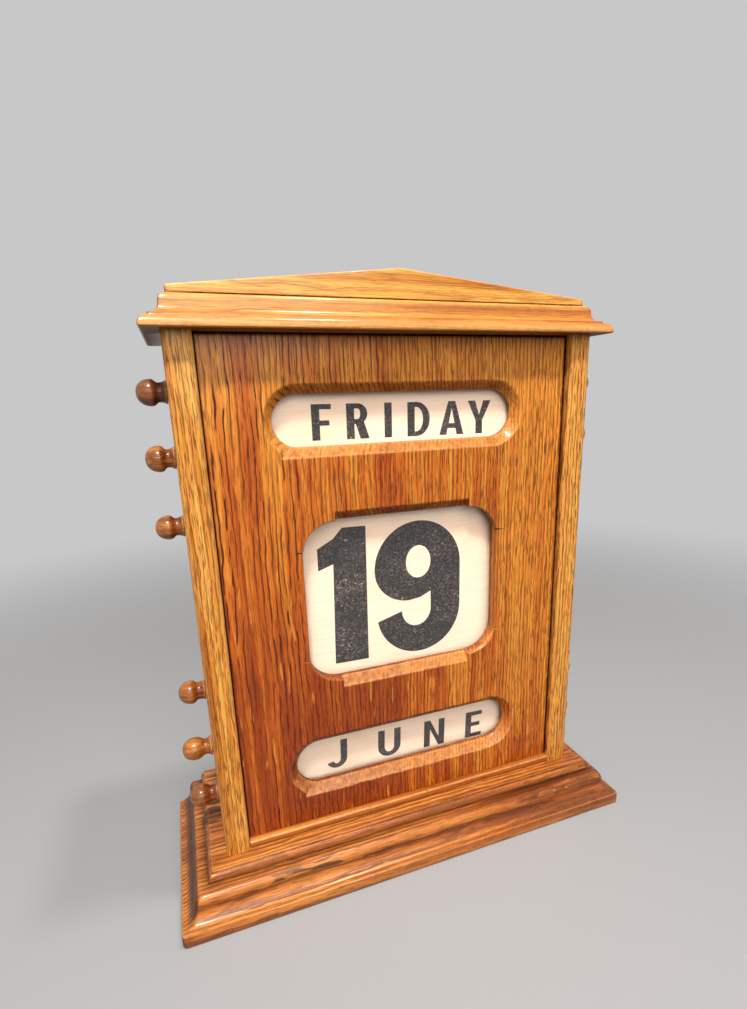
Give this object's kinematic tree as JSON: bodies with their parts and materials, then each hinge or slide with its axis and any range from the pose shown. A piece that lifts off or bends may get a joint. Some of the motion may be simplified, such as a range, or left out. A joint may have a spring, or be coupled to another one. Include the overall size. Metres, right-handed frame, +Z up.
{
  "type": "perpetual desk calendar",
  "caption": "Oak case with three glazed windows that show a day, a date and a month on printed cloth blinds, wound between rollers by turned knobs at both sides.",
  "frame": {"origin": "centre of the underside of the base, on the surface it stands on", "axes": "+Z up, the windows face -Y, +X to the right as seen from the front"},
  "size_m": [0.2774, 0.106, 0.3284],
  "materials": {
    "oak_panel": "satin varnish",
    "oak_side": "satin varnish",
    "oak_cornice": "satin varnish",
    "oak_base": "satin varnish",
    "oak_back": "dull stain",
    "beech": "bare wood",
    "knob_oak": "gloss varnish",
    "knob_dark": "gloss varnish",
    "cloth": "sized cotton",
    "window_glass": "clear",
    "brass": "aged",
    "steel": "dull"
  },
  "bodies": {
    "case": {"base_plinth": "oak_base", "base_step": "oak_base", "left_side": "oak_side", "right_side": "oak_side", "front_panel": "oak_panel", "sill_strip": "oak_cornice", "back_panel": "oak_back", "cornice": "oak_cornice", "pediment": "oak_cornice", "corner_blocks": "oak_back", "day_glass": "window_glass", "date_glass": "window_glass", "month_glass": "window_glass", "glass_pins": "brass", "back_screws": "brass", "base_screws": "steel", "cornice_screws": "steel", "pediment_dowels": "oak_side", "day_web": "cloth", "date_web": "cloth", "month_web": "cloth"},
    "day_upper": {"day_upper_roller": "beech", "day_upper_roll": "cloth", "day_upper_left_knob": "knob_dark", "day_upper_right_knob": "knob_oak"},
    "day_lower": {"day_lower_roller": "beech", "day_lower_roll": "cloth", "day_lower_left_knob": "knob_oak", "day_lower_right_knob": "knob_oak"},
    "date_upper": {"date_upper_roller": "beech", "date_upper_roll": "cloth", "date_upper_left_knob": "knob_oak", "date_upper_right_knob": "knob_oak"},
    "date_lower": {"date_lower_roller": "beech", "date_lower_roll": "cloth", "date_lower_left_knob": "knob_oak", "date_lower_right_knob": "knob_oak"},
    "month_upper": {"month_upper_roller": "beech", "month_upper_roll": "cloth", "month_upper_left_knob": "knob_oak", "month_upper_right_knob": "knob_oak"},
    "month_lower": {"month_lower_roller": "beech", "month_lower_roll": "cloth", "month_lower_left_knob": "knob_oak", "month_lower_right_knob": "knob_oak"}
  },
  "joints": [
    {"name": "day_upper_turn", "type": "hinge", "parent": "case", "child": "day_upper", "pos_m": [0, -0.007, 0.2735], "axis": [1, 0, 0], "range_deg": [-720, 1440]},
    {"name": "day_lower_turn", "type": "hinge", "parent": "case", "child": "day_lower", "pos_m": [0, -0.007, 0.2429], "axis": [1, 0, 0], "range_deg": [-720, 1440]},
    {"name": "date_upper_turn", "type": "hinge", "parent": "case", "child": "date_upper", "pos_m": [0, -0.0015, 0.208], "axis": [1, 0, 0], "range_deg": [-6840, 10080]},
    {"name": "date_lower_turn", "type": "hinge", "parent": "case", "child": "date_lower", "pos_m": [0, -0.0015, 0.1152], "axis": [1, 0, 0], "range_deg": [-6840, 10080]},
    {"name": "month_upper_turn", "type": "hinge", "parent": "case", "child": "month_upper", "pos_m": [0, -0.0045, 0.0819], "axis": [1, 0, 0], "range_deg": [-2160, 1800]},
    {"name": "month_lower_turn", "type": "hinge", "parent": "case", "child": "month_lower", "pos_m": [0, -0.0045, 0.0511], "axis": [1, 0, 0], "range_deg": [-2160, 1800]}
  ],
  "couplings": [
    {"joint": "day_lower_turn", "follows": "day_upper_turn", "ratio": 1},
    {"joint": "date_lower_turn", "follows": "date_upper_turn", "ratio": 1},
    {"joint": "month_lower_turn", "follows": "month_upper_turn", "ratio": 1}
  ]
}
